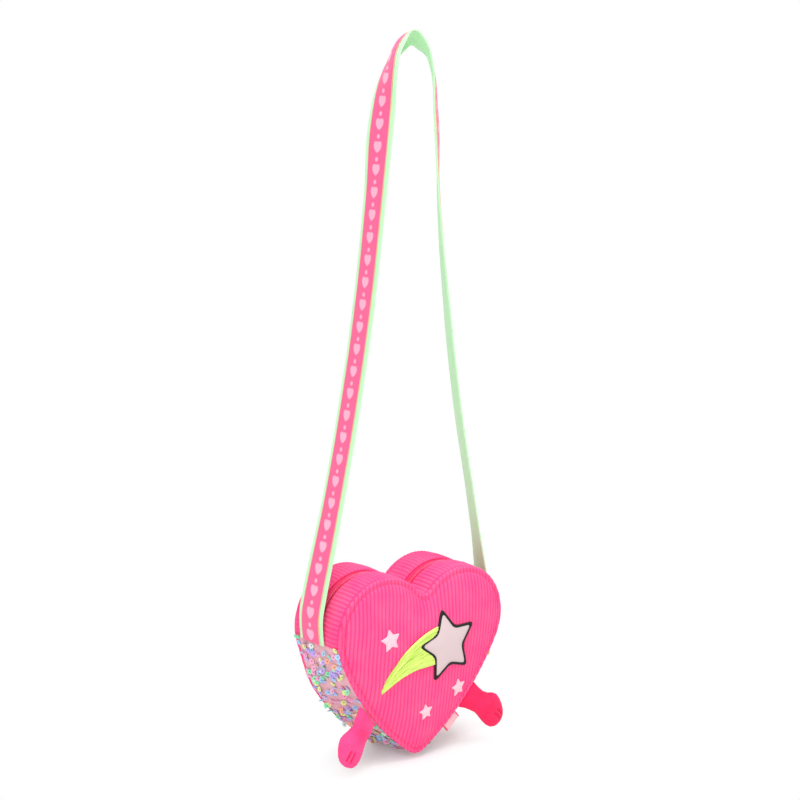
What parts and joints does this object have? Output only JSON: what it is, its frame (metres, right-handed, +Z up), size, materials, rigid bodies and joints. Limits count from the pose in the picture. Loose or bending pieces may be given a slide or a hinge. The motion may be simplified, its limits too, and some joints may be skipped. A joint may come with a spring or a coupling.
{
  "type": "heart shaped purse",
  "caption": "Heart shaped corduroy shoulder purse with a zip over the top, sequin mesh sides, stuffed arms and a woven strap.",
  "frame": {"origin": "inner face of the strap at its top, where the purse hangs", "axes": "+Z up along the strap, -Y out of the front panel, +X to the right of someone who looks at the front"},
  "size_m": [0.1731, 0.0636, 0.5584],
  "materials": {
    "corduroy": "ribbed cotton corduroy",
    "webbing": "woven polyester webbing",
    "ribbon": "woven jacquard ribbon",
    "sequin_mesh": "mesh with loose sequins",
    "foam": "soft foam sheet",
    "lining": "plain woven lining",
    "zip_tape": "woven zip tape",
    "zip_coil": "moulded nylon",
    "zip_metal": "lacquered zinc casting",
    "plush": "short pile velour",
    "tab_satin": "plain satin ribbon",
    "patch_satin": "satin patch",
    "border_thread": "satin stitch",
    "fringe": "loose yarn fringe",
    "pale_satin": "satin patch"
  },
  "bodies": {
    "strap": {"strap_webbing": "webbing", "strap_ribbon": "ribbon"},
    "bag": {"front_panel": "corduroy", "front_foam": "foam", "front_lining": "lining", "back_panel": "corduroy", "back_foam": "foam", "back_lining": "lining", "front_welt": "corduroy", "back_welt": "corduroy", "zip_strip_front": "corduroy", "zip_strip_rear": "corduroy", "sequin_band": "sequin_mesh", "side_lining": "lining", "zip_tape_front": "zip_tape", "zip_tape_rear": "zip_tape", "zip_teeth_front": "zip_coil", "zip_teeth_rear": "zip_coil", "zip_top_stops": "zip_metal", "zip_bottom_stop": "zip_metal", "side_tab": "tab_satin", "star_border": "border_thread", "star_patch": "patch_satin", "star_tail": "fringe", "small_stars": "pale_satin"},
    "slider": {"zip_slider": "zip_metal"},
    "pull": {"zip_pull": "zip_metal"},
    "left_arm": {"left_arm": "plush"},
    "right_arm": {"right_arm": "plush"}
  },
  "joints": [
    {"name": "bag_swing", "type": "hinge", "parent": "strap", "child": "bag", "pos_m": [0.012, 0, -0.4605], "axis": [1, 0, 0], "range_deg": [-85, 85]},
    {"name": "slider_travel", "type": "hinge", "parent": "bag", "child": "slider", "pos_m": [0.05078, 0, -0.453], "axis": [0, -1, 0], "range_deg": [0, 66], "deforming": ["zip_teeth_front", "zip_teeth_rear"]},
    {"name": "pull_swing", "type": "hinge", "parent": "slider", "child": "pull", "pos_m": [0.07689, 0, -0.41706], "axis": [0, -1, 0], "range_deg": [0, 170]},
    {"name": "right_arm_swing", "type": "hinge", "parent": "bag", "child": "right_arm", "pos_m": [0.06346, -0.02725, -0.51553], "axis": [-0.6388, 0, -0.7694], "range_deg": [-30, 45], "stiffness_Nm_per_rad": 0.02},
    {"name": "left_arm_swing", "type": "hinge", "parent": "bag", "child": "left_arm", "pos_m": [-0.03946, -0.02725, -0.51553], "axis": [-0.6388, 0, 0.7694], "range_deg": [-30, 45], "stiffness_Nm_per_rad": 0.02}
  ]
}
